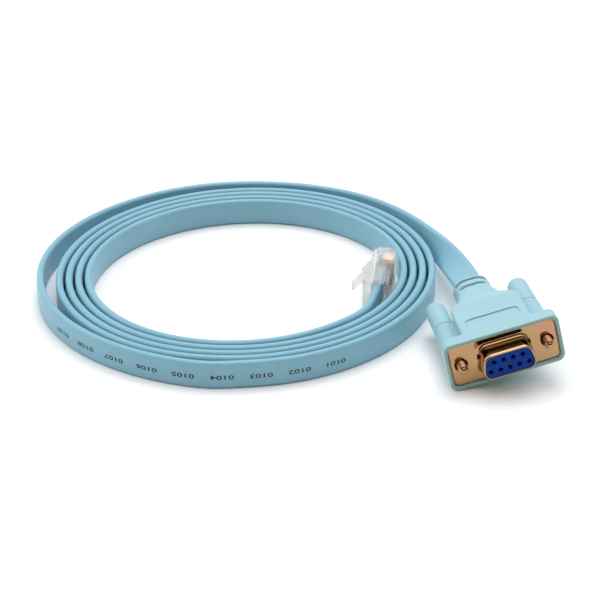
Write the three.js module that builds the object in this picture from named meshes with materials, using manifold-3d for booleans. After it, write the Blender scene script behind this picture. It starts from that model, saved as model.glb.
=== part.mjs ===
// Console cable: a flat eight-conductor cable wound on its edge, with a clear
// modular plug on its inner end and a moulded nine-way D connector on its outer end.
// Millimetres, +Z up. The cable and the connector lie on the floor plane z = 0.
import * as THREE from 'three';
import { mergeVertices } from 'three/addons/utils/BufferGeometryUtils.js';
import Module from 'manifold-3d';

const wasm = await Module();
wasm.setup();

// Clearances
const seatGap = 0.3;            // between a piece and the piece that holds it
const bladeGap = 0.12;          // beside a contact blade in its slot
const cutOver = 1;              // how far a cutting shape runs past the face it opens

// Flat cable
const tapeWidth = 8.4;
const tapeThickness = 2.4;
const tapeCorner = 0.6;         // chamfer of the tape's four long edges

// Coil: four close turns on edge, then the loose outer pass
const coilBore = 46.4;          // inner radius of the wound turns
const coilTurns = 4;
const turnGap = 0.45;
const turnGrooveDepth = 1.5;
const coilShift = [-0.2, 0.9];  // the turns grow outwards as they wind, so the ring sits off their centre
const coilOval = 0.018;         // the ring is this much longer one way, and shorter the other
const coilOvalTurn = 10;        // degrees from +X to the long way
const coilSegments = 64;

// Route of the outer pass, from the close turns to the connector: middle of the tape from the
// coil's centre, its rise off the floor, and how far the tape has turned from on edge, in degrees
const leadRoute = [
  [34.15, -46.3, 0, 0],
  [20.5, -53.4, 0, 0],
  [5.2, -57.0, 0, 0],
  [-10.6, -57.1, 0, 0],
  [-25.6, -52.4, 0, 0],
  [-38.6, -44.6, 0, 0],
  [-49.4, -34.0, 0, 0],
  [-57.0, -21.4, 0, 0],
  [-60.7, -8.9, 0, 0],
  [-61.4, 5.0, 0, 0],
  [-58.4, 18.9, 0, 0],
  [-51.8, 31.9, 0, 0],
  [-41.8, 43.6, 0, 0],
  [-28.9, 53.0, 0, 0],
  [-13.9, 58.9, 0, 0],
  [1.8, 60.7, 0, 0],
  [17.4, 58.9, 0.03, 0],
  [32.0, 53.4, 0.12, 2],
  [43.7, 44.7, 0.3, 4],
  [52.2, 33.4, 0.8, 7],
  [57.4, 22.6, 1.6, 13],
  [60.9, 11.6, 3.1, 27],
  [63.8, -1.2, 5, 50],
  [65.9, -12.4, 6.4, 71],
  [66.95, -18.71, 6.8, 76.4],
];
const leadSteps = 62;

// Route of the inner end, from inside the plug to the innermost turn, given as above
const tailRoute = [
  [41.32, -4.9, 1.64, 0],
  [40.15, -12.8, 1.64, 0],
  [38.7, -18.9, 1.4, 0],
  [36.1, -24.8, 0.8, 0],
  [31.4, -30.2, 0.3, 0],
  [25.4, -34.9, 0.1, 0],
  [17.9, -39.0, 0.03, 0],
  [9.2, -41.8, 0, 0],
  [0.0, -42.9, 0, 0],
];
const tailSteps = 16;

// Connector's place: middle of its front face from the coil's centre, and its turns in degrees
const connectorPlace = [73.8, -57.2];
const connectorYaw = 9.73;
const connectorRoll = -13.59;

// Connector's shell, to the standard sizes of a nine-way D connector
const screwSpacing = 24.99;
const screwHoleRadius = 1.75;
const flangeEnd = 2.91;         // from a screw's axis to the flange's end
const flangeWidth = screwSpacing + 2 * flangeEnd;
const flangeHeight = 12.55;
const flangeCorner = 1.6;
const flangeThickness = 0.8;
const flangeRecess = 0.7;       // flange's front face behind the hood's rim
const shellWidth = 16.33;
const shellHeight = 7.9;
const shellCorner = 2.59;
const shellSlant = 10;          // degrees, of the two short sides
const shellWall = 0.45;
const shellReach = 5.9;         // in front of the flange

// Insulator and its nine socket contacts
const insulatorRecess = 0.25;   // behind the shell's edge
const insulatorTail = 2.2;      // behind the flange
const contactPitch = 2.77;
const contactRows = [
  { name: 'upper', count: 4, height: 1.42 },
  { name: 'lower', count: 5, height: -1.42 },
];
const contactMouthRadius = 0.75;
const contactMouthDepth = 0.8;
const contactCellRadius = 1.15;
const contactRadius = 0.82;
const contactBore = 0.52;
const contactBoreDepth = 4;
const contactLength = 5.6;
const contactSegments = 12;

// Moulded hood
const hoodRim = 1.25;           // round the flange
const faceWidth = flangeWidth + 2 * hoodRim;
const faceHeight = flangeHeight + 2 * hoodRim;
const faceCorner = 2.3;
const faceDepth = 4.4;
const bodyWidth = 19.8;
const bodyShoulder = 12.6;      // where the body starts to narrow
const bodyNeck = 21.6;          // where it has narrowed to the collar
const bodySlopeStart = 18.5;    // where its top and underside start to close in
const bodyEdge = 0.5;
const wingRadius = 3.5;
const wingEnd = 20;
const collarBaseRadius = 6.7;
const collarWaistRadius = 5.5;
const collarLipRadius = 5.45;
const collarFlatness = 0.8;     // height over width
const collarSlots = [[33.4, 34.6], [36.7, 37.8]];  // the two relief slots, from and to
const collarSlotDepth = 1.1;
const collarEnd = 38.8;
const collarEdge = 0.4;
const collarSegments = 32;
const panelWidth = 15.6;
const panelEnd = 10.8;
const panelCorner = 1.6;
const panelDepth = 0.35;
const panelStart = 4.9;

// Thumbscrews
const screwRadius = 1.42;
const screwReach = 3.4;         // in front of the hood's rim
const screwGrip = 7;            // inside the knob
const screwPoint = 0.5;
const knobRadius = 2.9;
const knobLength = 14;
const knobEdge = 0.4;
const knobRound = 2.2;          // of the far end's edge
const roundSegments = 28;

// Modular plug, standing on its narrow side: x across its thickness, with the contacts
// on the +x face and the latch on the -x face, y towards its nose, z across its width
const plugPlace = [41.4, -4.4];
const plugTurn = -8.5;
const plugWidth = 11.68;
const plugThickness = 6.6;
const plugLength = 22;
const plugHeel = 1.1;           // extra thickness of the rear block, on the latch side
const plugHeelLength = 8.2;
const plugNoseStep = 1.2;
const plugNoseDrop = 0.9;
const plugContacts = 8;
const plugPitch = 1.02;
const bladeThickness = 0.36;
const bladeLength = 4.6;
const bladeHeight = 3.6;
const bladeSetback = 1.9;       // from the nose to the blade
const bladeSunk = 0.45;         // blade's edge below the contact face
const jacketMouth = [3.5, 9.3]; // opening for the cable, thickness and width
const jacketMouthDepth = 12.4;
const reliefWindow = [5, 7.2];  // recess on the contact face behind the blades, length and width
const reliefWindowDepth = 1.2;
const reliefWindowStart = 3.7;  // from the rear face
const wireChannelEnd = 1.4;     // from the nose
const wireRadius = 0.42;
const wireSegments = 8;
const latchThickness = 0.9;
const latchRoot = 2.2;          // from the nose
const latchLength = 13.4;
const latchLift = 4.6;          // of the free end off the contact-side block
const latchWidth = 6;
const latchTipWidth = 3.2;
const latchCatch = 6.6;         // length of the wide part
const latchHinge = 1.2;         // length of its foot on the body
const latchOverlap = 0.2;       // of the narrow part into the wide one

// Finishes
const jacketBlue = new THREE.MeshStandardMaterial({ color: 0x8fc6dc, roughness: 0.5 });
const hoodBlue = new THREE.MeshStandardMaterial({ color: 0xa3d5e4, roughness: 0.55 });
const goldPlate = new THREE.MeshStandardMaterial({ color: 0xb98a52, roughness: 0.35, metalness: 0.9 });
const contactGold = new THREE.MeshStandardMaterial({ color: 0xd8a85a, roughness: 0.3, metalness: 1 });
const socketBlue = new THREE.MeshStandardMaterial({ color: 0x1a3f98, roughness: 0.4 });
const clearPlastic = new THREE.MeshStandardMaterial({
  color: 0xe8eef0, roughness: 0.08, transparent: true, opacity: 0.35,
});
const wireTints = [0x2a2a2c, 0xe8e6df, 0xb8302c, 0xd8b233, 0x3c7a45, 0x2f5fa8, 0x7a4a2c, 0x7c8288];

const degrees = THREE.MathUtils.degToRad;

// Solids are cut and joined by their surfaces alone
function toSolid(geometry) {
  const bare = geometry.clone();
  bare.deleteAttribute('normal');
  bare.deleteAttribute('uv');
  const merged = mergeVertices(bare, 1e-5);
  return new wasm.Manifold(new wasm.Mesh({
    numProp: 3,
    vertProperties: new Float32Array(merged.attributes.position.array),
    triVerts: new Uint32Array(merged.index.array),
  }));
}

function toGeometry(solid) {
  const mesh = solid.getMesh();
  const geometry = new THREE.BufferGeometry();
  geometry.setAttribute('position', new THREE.BufferAttribute(new Float32Array(mesh.vertProperties), 3));
  geometry.setIndex(new THREE.BufferAttribute(new Uint32Array(mesh.triVerts), 1));
  geometry.computeVertexNormals();
  return geometry;
}

function join(...pieces) {
  return toGeometry(pieces.map(toSolid).reduce((all, piece) => all.add(piece)));
}

function cut(base, ...tools) {
  return toGeometry(tools.map(toSolid).reduce((left, tool) => left.subtract(tool), toSolid(base)));
}

function common(...pieces) {
  return toGeometry(pieces.map(toSolid).reduce((all, piece) => all.intersect(piece)));
}

// A shape drawn in x and z, standing from one y to another
function standing(shape, from, to, curveSegments = 6) {
  const geometry = new THREE.ExtrudeGeometry(shape, { depth: to - from, bevelEnabled: false, curveSegments });
  const axes = new THREE.Matrix4().makeBasis(
    new THREE.Vector3(1, 0, 0), new THREE.Vector3(0, 0, 1), new THREE.Vector3(0, -1, 0));
  return geometry.applyMatrix4(axes).translate(0, to, 0);
}

// A shape drawn in x and y, lying from one height to another
function lying(shape, from, to, curveSegments = 6) {
  const geometry = new THREE.ExtrudeGeometry(shape, { depth: to - from, bevelEnabled: false, curveSegments });
  return geometry.translate(0, 0, from);
}

// A shape drawn in y and z, from one x to another
function sideways(shape, from, to, curveSegments = 6) {
  const geometry = new THREE.ExtrudeGeometry(shape, { depth: to - from, bevelEnabled: false, curveSegments });
  const axes = new THREE.Matrix4().makeBasis(
    new THREE.Vector3(0, 1, 0), new THREE.Vector3(0, 0, 1), new THREE.Vector3(1, 0, 0));
  return geometry.applyMatrix4(axes).translate(from, 0, 0);
}

// A profile of [radius, y] points turned about the y axis
function turned(profile, segments) {
  return new THREE.LatheGeometry(profile.map(([radius, y]) => new THREE.Vector2(radius, y)), segments);
}

function rod(radius, from, to, segments = roundSegments) {
  return turned([[0, from], [radius, from], [radius, to], [0, to]], segments);
}

function box(low, high) {
  const [width, depth, height] = high.map((value, axis) => value - low[axis]);
  const [x, y, z] = high.map((value, axis) => (value + low[axis]) / 2);
  return new THREE.BoxGeometry(width, depth, height).translate(x, y, z);
}

function polygon(points) {
  return new THREE.Shape(points.map(([x, y]) => new THREE.Vector2(x, y)));
}

function roundedRectangle(width, height, corner) {
  const x = width / 2;
  const y = height / 2;
  const shape = new THREE.Shape();
  shape.moveTo(-x + corner, -y);
  shape.lineTo(x - corner, -y);
  shape.absarc(x - corner, -y + corner, corner, -Math.PI / 2, 0);
  shape.lineTo(x, y - corner);
  shape.absarc(x - corner, y - corner, corner, 0, Math.PI / 2);
  shape.lineTo(-x + corner, y);
  shape.absarc(-x + corner, y - corner, corner, Math.PI / 2, Math.PI);
  shape.lineTo(-x, -y + corner);
  shape.absarc(-x + corner, -y + corner, corner, Math.PI, Math.PI * 1.5);
  return shape;
}

// The D outline, wide side down, shrunk by an inset all round
function dOutline(inset) {
  const slant = degrees(shellSlant);
  const y = shellHeight / 2 - inset;
  const lean = Math.tan(slant);
  const middle = shellWidth / 2 - shellHeight / 2 * lean - inset / Math.cos(slant);
  const low = middle + y * lean;
  const high = middle - y * lean;
  const corner = Math.max(shellCorner - inset, shellCorner / 4);
  const lowReach = corner * Math.tan((Math.PI / 2 + slant) / 2);
  const highReach = corner * Math.tan((Math.PI / 2 - slant) / 2);
  const shape = new THREE.Shape();
  shape.moveTo(-low + lowReach, -y);
  shape.lineTo(low - lowReach, -y);
  shape.absarc(low - lowReach, -y + corner, corner, -Math.PI / 2, slant);
  shape.absarc(high - highReach, y - corner, corner, slant, Math.PI / 2);
  shape.absarc(-high + highReach, y - corner, corner, Math.PI / 2, Math.PI - slant);
  shape.absarc(-low + lowReach, -y + corner, corner, Math.PI - slant, Math.PI * 1.5);
  return shape;
}

// A run of flat tape: the curve carries its own frames, so the tape's width turns as given
class TapeRoute extends THREE.CatmullRomCurve3 {
  constructor(route) {
    super(route.map(([x, y, rise]) => new THREE.Vector3(x, y, tapeWidth / 2 + rise)), false, 'centripetal');
    this.turns = route.map(([, , , turn]) => degrees(turn));
  }

  turnAt(share) {
    const place = this.getUtoTmapping(share) * (this.turns.length - 1);
    const first = Math.min(Math.floor(place), this.turns.length - 2);
    return THREE.MathUtils.lerp(this.turns[first], this.turns[first + 1], place - first);
  }

  computeFrenetFrames(segments) {
    const frames = { tangents: [], normals: [], binormals: [] };
    for (let step = 0; step <= segments; step += 1) {
      const tangent = this.getTangentAt(step / segments);
      const outward = new THREE.Vector3(0, 0, 1).cross(tangent).normalize();
      const upright = tangent.clone().cross(outward).normalize();
      const across = upright.clone().applyAxisAngle(tangent, -this.turnAt(step / segments));
      frames.tangents.push(tangent);
      frames.normals.push(across.clone().cross(tangent));
      frames.binormals.push(across);
    }
    return frames;
  }
}

function tapeSection() {
  const x = tapeThickness / 2;
  const y = tapeWidth / 2;
  return polygon([
    [-x + tapeCorner, -y], [x - tapeCorner, -y], [x, -y + tapeCorner], [x, y - tapeCorner],
    [x - tapeCorner, y], [-x + tapeCorner, y], [-x, y - tapeCorner], [-x, -y + tapeCorner],
  ]);
}

function tapeRun(route, steps) {
  return new THREE.ExtrudeGeometry(tapeSection(), { steps, extrudePath: new TapeRoute(route) });
}

// The close turns as one turned ring, each turn a ridge on both ends
function coilRing() {
  const pitch = tapeThickness + turnGap;
  const top = [];
  for (let turn = 0; turn < coilTurns; turn += 1) {
    const inner = coilBore + turn * pitch;
    const outer = inner + tapeThickness;
    if (turn === 0) top.push([inner, tapeWidth - tapeCorner]);
    top.push([inner + tapeCorner, tapeWidth], [outer - tapeCorner, tapeWidth]);
    if (turn < coilTurns - 1) top.push([outer + turnGap / 2, tapeWidth - turnGrooveDepth]);
    else top.push([outer, tapeWidth - tapeCorner]);
  }
  const bottom = top.map(([radius, height]) => [radius, tapeWidth - height]);
  const profile = [...bottom, ...top.reverse()];
  profile.push(profile[0]);
  const ring = turned(profile, coilSegments).rotateX(Math.PI / 2);
  const turn = degrees(coilOvalTurn);
  ring.rotateZ(-turn).scale(1 + coilOval, 1 - coilOval, 1).rotateZ(turn);
  return ring.translate(coilShift[0], coilShift[1], 0);
}

// The hood's body: its plan outline and its side outline, met in one solid
function hoodBody() {
  const half = bodyWidth / 2;
  const plan = new THREE.Shape();
  plan.moveTo(-half, 0);
  plan.lineTo(half, 0);
  plan.lineTo(half, bodyShoulder);
  plan.bezierCurveTo(half, bodyNeck - 4, collarBaseRadius + 0.6, bodyNeck - 2, collarBaseRadius - 0.2, bodyNeck);
  plan.lineTo(collarBaseRadius - 0.6, bodyNeck + 4);
  plan.lineTo(-collarBaseRadius + 0.6, bodyNeck + 4);
  plan.lineTo(-collarBaseRadius + 0.2, bodyNeck);
  plan.bezierCurveTo(-collarBaseRadius - 0.6, bodyNeck - 2, -half, bodyNeck - 4, -half, bodyShoulder);
  const high = faceHeight / 2;
  const low = collarBaseRadius * collarFlatness - 0.4;
  const side = new THREE.Shape();
  side.moveTo(0, -high);
  side.lineTo(bodySlopeStart, -high);
  side.quadraticCurveTo(bodyNeck, -high, bodyNeck + 4, -low);
  side.lineTo(bodyNeck + 4, low);
  side.quadraticCurveTo(bodyNeck, high, bodySlopeStart, high);
  side.lineTo(0, high);
  const front = standing(roundedRectangle(bodyWidth, faceHeight, bodyEdge), 0, bodyNeck + 4, 3);
  return common(lying(plan, -faceHeight, faceHeight, 8), sideways(side, -faceWidth, faceWidth, 8), front);
}

function hoodCollar() {
  const slots = collarSlots.flatMap(([from, to]) => [
    [collarWaistRadius, from],
    [collarWaistRadius - collarSlotDepth, from],
    [collarWaistRadius - collarSlotDepth, to],
    [collarWaistRadius, to],
  ]);
  const collar = turned([
    [0, bodyNeck - 4],
    [collarBaseRadius, bodyNeck - 4],
    [collarBaseRadius, bodyNeck],
    [collarWaistRadius + 0.35, (bodyNeck + collarSlots[0][0]) / 2],
    ...slots,
    [collarLipRadius, collarEnd - collarEdge],
    [collarLipRadius - collarEdge, collarEnd],
    [0, collarEnd],
  ], collarSegments);
  return collar.scale(1, 1, collarFlatness);
}

function hood() {
  const flangeRear = flangeRecess + flangeThickness + seatGap;
  const face = standing(roundedRectangle(faceWidth, faceHeight, faceCorner), 0, faceDepth, 5);
  const wings = [-1, 1].map((side) => rod(wingRadius, faceDepth - cutOver, wingEnd)
    .translate(side * screwSpacing / 2, 0, 0));
  const whole = join(face, hoodBody(), ...wings, hoodCollar());
  const flangePocket = standing(roundedRectangle(
    flangeWidth + 2 * seatGap, flangeHeight + 2 * seatGap, flangeCorner + seatGap), -cutOver, flangeRear, 4);
  const insulatorPocket = standing(dOutline(shellWall), 0, flangeRecess + insulatorTail + seatGap);
  const screwBores = [-1, 1].map((side) => rod(screwRadius + seatGap, 0, wingEnd + cutOver)
    .translate(side * screwSpacing / 2, 0, 0));
  const panel = lying(roundedRectangle(panelWidth, panelEnd - panelStart, panelCorner),
    faceHeight / 2 - panelDepth, faceHeight).translate(0, (panelStart + panelEnd) / 2, 0);
  return cut(whole, flangePocket, insulatorPocket, ...screwBores, panel);
}

// The flange and the drawn D shell are one piece of sheet metal
function shell() {
  const flange = standing(roundedRectangle(flangeWidth, flangeHeight, flangeCorner),
    flangeRecess, flangeRecess + flangeThickness, 4);
  const drawn = standing(dOutline(0), flangeRecess - shellReach, flangeRecess + flangeThickness / 2);
  const opening = standing(dOutline(shellWall), flangeRecess - shellReach - cutOver,
    flangeRecess + flangeThickness + cutOver);
  const screwHoles = [-1, 1].map((side) => rod(screwHoleRadius, 0, flangeRecess + flangeThickness + cutOver)
    .translate(side * screwSpacing / 2, 0, 0));
  return cut(join(flange, drawn), opening, ...screwHoles);
}

function contactPlaces() {
  return contactRows.flatMap(({ name, count, height }) => Array.from({ length: count }, (_, index) => ({
    name: `socket_contact_${name}_${index + 1}`,
    x: (index - (count - 1) / 2) * contactPitch,
    z: height,
  })));
}

function insulator() {
  const front = flangeRecess - shellReach + insulatorRecess;
  const block = standing(dOutline(shellWall + seatGap), front, flangeRecess + insulatorTail);
  const cellStart = front + contactMouthDepth;
  const cellEnd = cellStart + contactLength + 2 * seatGap;
  const cells = contactPlaces().flatMap(({ x, z }) => [
    rod(contactMouthRadius, front - cutOver, cellStart + seatGap, contactSegments).translate(x, 0, z),
    rod(contactCellRadius, cellStart, cellEnd, contactSegments).translate(x, 0, z),
  ]);
  return cut(block, ...cells);
}

function socketContact() {
  const start = flangeRecess - shellReach + insulatorRecess + contactMouthDepth + seatGap;
  const end = start + contactLength;
  return turned([
    [0, start + contactBoreDepth], [contactBore, start + contactBoreDepth], [contactBore, start],
    [contactRadius, start], [contactRadius, end], [0, end],
  ], contactSegments);
}

function jackscrew() {
  return turned([
    [0, -screwReach], [screwRadius - screwPoint, -screwReach], [screwRadius, -screwReach + screwPoint],
    [screwRadius, wingEnd + screwGrip], [0, wingEnd + screwGrip],
  ], roundSegments);
}

function knob() {
  const start = wingEnd + seatGap;
  const end = start + knobLength;
  const profile = [[screwRadius + seatGap, start], [knobRadius - knobEdge, start], [knobRadius, start + knobEdge]];
  const roundSteps = 5;
  for (let step = 0; step <= roundSteps; step += 1) {
    const angle = step / roundSteps * Math.PI / 2;
    profile.push([
      knobRadius - knobRound + knobRound * Math.cos(angle),
      end - knobRound + knobRound * Math.sin(angle),
    ]);
  }
  profile.push([0, end]);
  const bore = wingEnd + screwGrip + seatGap;
  profile.push([0, bore], [screwRadius + seatGap, bore], profile[0]);
  return turned(profile, roundSegments);
}

// Modular plug pieces, in the plug's own directions
const plugNose = plugLength / 2;
const plugFace = plugThickness / 2;
const bladeFoot = plugFace - bladeSunk - bladeHeight;
const wireLine = bladeFoot - bladeGap - wireRadius;

function wireHeights() {
  return Array.from({ length: plugContacts }, (_, index) => (index - (plugContacts - 1) / 2) * plugPitch);
}

function latch() {
  const outer = -plugFace - latchLift;
  const root = plugNose - latchRoot;
  const tip = root - latchLength;
  const catchEnd = root - latchCatch;
  const lean = (outer + plugFace) / latchLength;
  const edge = (y) => -plugFace + (root - y) * lean;
  const arm = (from, to, width) => lying(polygon([
    [edge(from), from], [edge(to), to], [edge(to) - latchThickness, to], [edge(from) - latchThickness, from],
  ]), -width / 2, width / 2);
  const half = latchWidth / 2;
  const base = box([-plugFace - latchThickness, root, -half], [-plugFace + cutOver, root + latchHinge, half]);
  const wide = arm(root + latchHinge / 2, catchEnd, latchWidth);
  const narrow = arm(catchEnd + latchOverlap, tip, latchTipWidth);
  return join(base, wide, narrow);
}

function plugBody() {
  const half = plugWidth / 2;
  const core = box([-plugFace, -plugNose, -half], [plugFace, plugNose, half]);
  const heel = box([-plugFace - plugHeel, -plugNose, -half], [0, -plugNose + plugHeelLength, half]);
  const noseStep = box([-plugFace - cutOver, plugNose - plugNoseStep, -half - cutOver],
    [-plugFace + plugNoseDrop, plugNose + cutOver, half + cutOver]);
  const mouth = box([-jacketMouth[0] / 2, -plugNose - cutOver, -jacketMouth[1] / 2],
    [jacketMouth[0] / 2, -plugNose + jacketMouthDepth, jacketMouth[1] / 2]);
  const channelHalf = (plugContacts * plugPitch + seatGap) / 2;
  const channel = box([wireLine - wireRadius - seatGap, -plugNose, -channelHalf],
    [bladeFoot + bladeGap, plugNose - wireChannelEnd, channelHalf]);
  const slotHalf = bladeThickness / 2 + bladeGap;
  const slots = wireHeights().map((z) => box(
    [bladeFoot - bladeGap, plugNose - bladeSetback - bladeLength - bladeGap, z - slotHalf],
    [plugFace + cutOver, plugNose - bladeSetback + bladeGap, z + slotHalf]));
  const windowStart = -plugNose + reliefWindowStart;
  const window = box([plugFace - reliefWindowDepth, windowStart, -reliefWindow[1] / 2],
    [plugFace + cutOver, windowStart + reliefWindow[0], reliefWindow[1] / 2]);
  return cut(join(cut(core, noseStep), heel, latch()), mouth, channel, window, ...slots);
}

function blade() {
  return box([bladeFoot, plugNose - bladeSetback - bladeLength, -bladeThickness / 2],
    [plugFace - bladeSunk, plugNose - bladeSetback, bladeThickness / 2]);
}

function wire() {
  const jacketEnd = -plugNose + jacketMouthDepth - 2 * seatGap;
  return rod(wireRadius, jacketEnd, plugNose - wireChannelEnd - seatGap, wireSegments);
}

function piece(name, geometry, material) {
  const mesh = new THREE.Mesh(geometry, material.clone());
  mesh.name = name;
  return mesh;
}

function cable() {
  const group = new THREE.Group();
  group.add(piece('cable_coil', coilRing(), jacketBlue));
  group.add(piece('cable_lead', tapeRun(leadRoute, leadSteps), jacketBlue));
  group.add(piece('cable_tail', tapeRun(tailRoute, tailSteps), jacketBlue));
  return group;
}

function modularPlug() {
  const group = new THREE.Group();
  group.add(piece('plug_body', plugBody(), clearPlastic));
  wireHeights().forEach((z, index) => {
    const contact = piece(`plug_contact_${index + 1}`, blade(), contactGold);
    contact.position.z = z;
    const tint = wireTints[index % wireTints.length];
    const insulation = new THREE.MeshStandardMaterial({ color: tint, roughness: 0.5 });
    const conductor = piece(`plug_wire_${index + 1}`, wire(), insulation);
    conductor.position.set(wireLine, 0, z);
    group.add(contact, conductor);
  });
  group.rotation.z = degrees(plugTurn);
  group.position.set(plugPlace[0], plugPlace[1], plugWidth / 2);
  return group;
}

function dConnector() {
  const turnedPart = new THREE.Group();
  turnedPart.add(piece('connector_hood', hood(), hoodBlue));
  turnedPart.add(piece('connector_shell', shell(), goldPlate));
  turnedPart.add(piece('connector_insulator', insulator(), socketBlue));
  for (const { name, x, z } of contactPlaces()) {
    const contact = piece(name, socketContact(), contactGold);
    contact.position.set(x, 0, z);
    turnedPart.add(contact);
  }
  for (const [name, side] of [['left', -1], ['right', 1]]) {
    const screw = piece(`${name}_jackscrew`, jackscrew(), goldPlate);
    const grip = piece(`${name}_thumbscrew_knob`, knob(), hoodBlue);
    screw.position.x = side * screwSpacing / 2;
    grip.position.x = side * screwSpacing / 2;
    turnedPart.add(screw, grip);
  }
  turnedPart.rotation.y = degrees(connectorRoll);
  const group = new THREE.Group();
  group.add(turnedPart);
  group.rotation.z = degrees(connectorYaw);
  group.position.set(connectorPlace[0], connectorPlace[1], 0);
  return group;
}

const consoleCable = new THREE.Group();
const connector = dConnector();
consoleCable.add(cable(), modularPlug(), connector);

// The connector rests on the floor with its lower edge, and its middle is the cable's origin
const room = new THREE.Box3().setFromObject(connector, true);
const middle = room.getCenter(new THREE.Vector3());
connector.position.z = -room.min.z;
consoleCable.position.set(-middle.x, -middle.y, 0);

export default consoleCable;
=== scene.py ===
import math

import bpy
import numpy as np
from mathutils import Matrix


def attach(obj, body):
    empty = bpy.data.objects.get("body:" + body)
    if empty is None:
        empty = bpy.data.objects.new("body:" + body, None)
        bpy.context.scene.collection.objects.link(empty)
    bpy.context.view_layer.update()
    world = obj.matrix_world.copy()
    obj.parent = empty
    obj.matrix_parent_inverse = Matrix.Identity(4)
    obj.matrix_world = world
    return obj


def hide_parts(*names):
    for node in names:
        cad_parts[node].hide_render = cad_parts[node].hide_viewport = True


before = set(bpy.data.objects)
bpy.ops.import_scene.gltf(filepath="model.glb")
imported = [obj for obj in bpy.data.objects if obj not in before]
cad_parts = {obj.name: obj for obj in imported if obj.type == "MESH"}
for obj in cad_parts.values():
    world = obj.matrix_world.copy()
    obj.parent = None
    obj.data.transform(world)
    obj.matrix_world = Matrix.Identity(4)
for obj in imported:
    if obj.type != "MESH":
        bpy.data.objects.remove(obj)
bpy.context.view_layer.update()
mm = 0.001
rootBody = "cable_and_connectors"


# Camera, from the standard sizes of the D connector in the picture

view = {
    "place": (-55.38, -508.15, 293.31),  # mm
    "tilt": 61.63,                       # degrees up from straight down
    "lens": 122.57,
}


def makeCamera(view):
    data = bpy.data.cameras.new("photoCamera")
    data.lens = view["lens"]
    data.sensor_width = 36
    data.clip_start = 0.02
    camera = bpy.data.objects.new("photoCamera", data)
    camera.location = [value * mm for value in view["place"]]
    camera.rotation_euler = (math.radians(view["tilt"]), 0, 0)
    bpy.context.scene.collection.objects.link(camera)
    bpy.context.scene.camera = camera


makeCamera(view)
print("camera placed")


# Node building: one wrapper for numbers, one for a tree

class Value:  # a socket, with its arithmetic written as Math nodes
    def __init__(self, nodes, socket):
        self.nodes = nodes
        self.socket = socket

    def worked(self, operation, first, second):
        return self.nodes.add("ShaderNodeMath", {"operation": operation}, {0: first, 1: second})

    def __add__(self, other):
        return self.worked("ADD", self, other)

    def __radd__(self, other):
        return self.worked("ADD", other, self)

    def __sub__(self, other):
        return self.worked("SUBTRACT", self, other)

    def __rsub__(self, other):
        return self.worked("SUBTRACT", other, self)

    def __mul__(self, other):
        return self.worked("MULTIPLY", self, other)

    def __rmul__(self, other):
        return self.worked("MULTIPLY", other, self)


class Nodes:
    def __init__(self, tree):
        self.tree = tree
        tree.nodes.clear()

    def add(self, kind, settings=None, inputs=None, output=0):
        node = self.tree.nodes.new(kind)
        for name, setting in (settings or {}).items():
            if name == "stops":
                self.setStops(node.color_ramp, setting)
            else:
                setattr(node, name, setting)
        for socket, value in (inputs or {}).items():
            if isinstance(value, Value):
                self.tree.links.new(value.socket, node.inputs[socket])
            else:
                node.inputs[socket].default_value = value
        return Value(self, node.outputs[output]) if node.outputs else node

    def setStops(self, ramp, stops):
        while len(ramp.elements) < len(stops):
            ramp.elements.new(1)
        for element, (position, shade) in zip(ramp.elements, stops):
            element.position = position
            element.color = (shade, shade, shade, 1)

    def mix(self, share, first, second):
        return self.add("ShaderNodeMix", {"data_type": "RGBA"}, {0: share, 6: first, 7: second}, 2)

    def noise(self, vector, scale, detail=2.0, roughness=0.5):
        settings = {"Vector": vector, "Scale": scale, "Detail": detail, "Roughness": roughness}
        return self.add("ShaderNodeTexNoise", None, settings)

    def ramp(self, value, low, high):
        return self.add("ShaderNodeValToRGB", {"stops": [(low, 0), (high, 1)]}, {0: value})

    def bump(self, height, strength, distance):
        inputs = {"Height": height, "Strength": strength, "Distance": distance}
        return self.add("ShaderNodeBump", None, inputs)


def newFinish(name):
    material = bpy.data.materials.new(name)
    material.use_nodes = True
    nodes = Nodes(material.node_tree)
    place = nodes.add("ShaderNodeTexCoord", None, None, "Object")
    return material, nodes, place


def close(nodes, inputs):
    shader = nodes.add("ShaderNodeBsdfPrincipled", None, inputs)
    nodes.add("ShaderNodeOutputMaterial", None, {0: shader})


def rgba(colour, gain=1.0):
    return (*(channel * gain for channel in colour), 1)


# Finishes, colours in linear light

vinyl = {
    "jacket": (0.222, 0.465, 0.59),
    "hood": (0.315, 0.535, 0.61),
    "rim": (0.26, 0.42, 0.37),   # painted shade: the front rim darker and grey-green, as that face looks in the shade it lies in
    "grain": 5200,
    "mottle": 160,
}


def jacketFinish():
    material, nodes, place = newFinish("jacketVinyl")
    along = nodes.add("ShaderNodeUVMap", {"uv_map": "tape"})
    stretched = nodes.add("ShaderNodeMapping", None, {0: along, 3: (3200, 260, 1)})
    lines = nodes.noise(stretched, 1.0, 2.0)
    drift = nodes.noise(place, vinyl["mottle"] * 0.4, 2.0)
    speck = nodes.noise(place, vinyl["grain"], 1.0)
    base = vinyl["jacket"]
    colour = nodes.mix(drift, rgba(base, 0.90), rgba((base[0] * 1.08, base[1] * 1.05, base[2] * 1.03)))
    colour = nodes.mix(nodes.ramp(lines, 0.35, 0.75) * 0.16, colour, rgba(base, 0.78))
    height = lines * 0.6 + speck * 0.4
    close(nodes, {
        "Base Color": colour,
        "Roughness": 0.36 + drift * 0.12,
        "IOR": 1.5,
        "Normal": nodes.bump(height, 0.22, 0.0001),
    })
    return material


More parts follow.
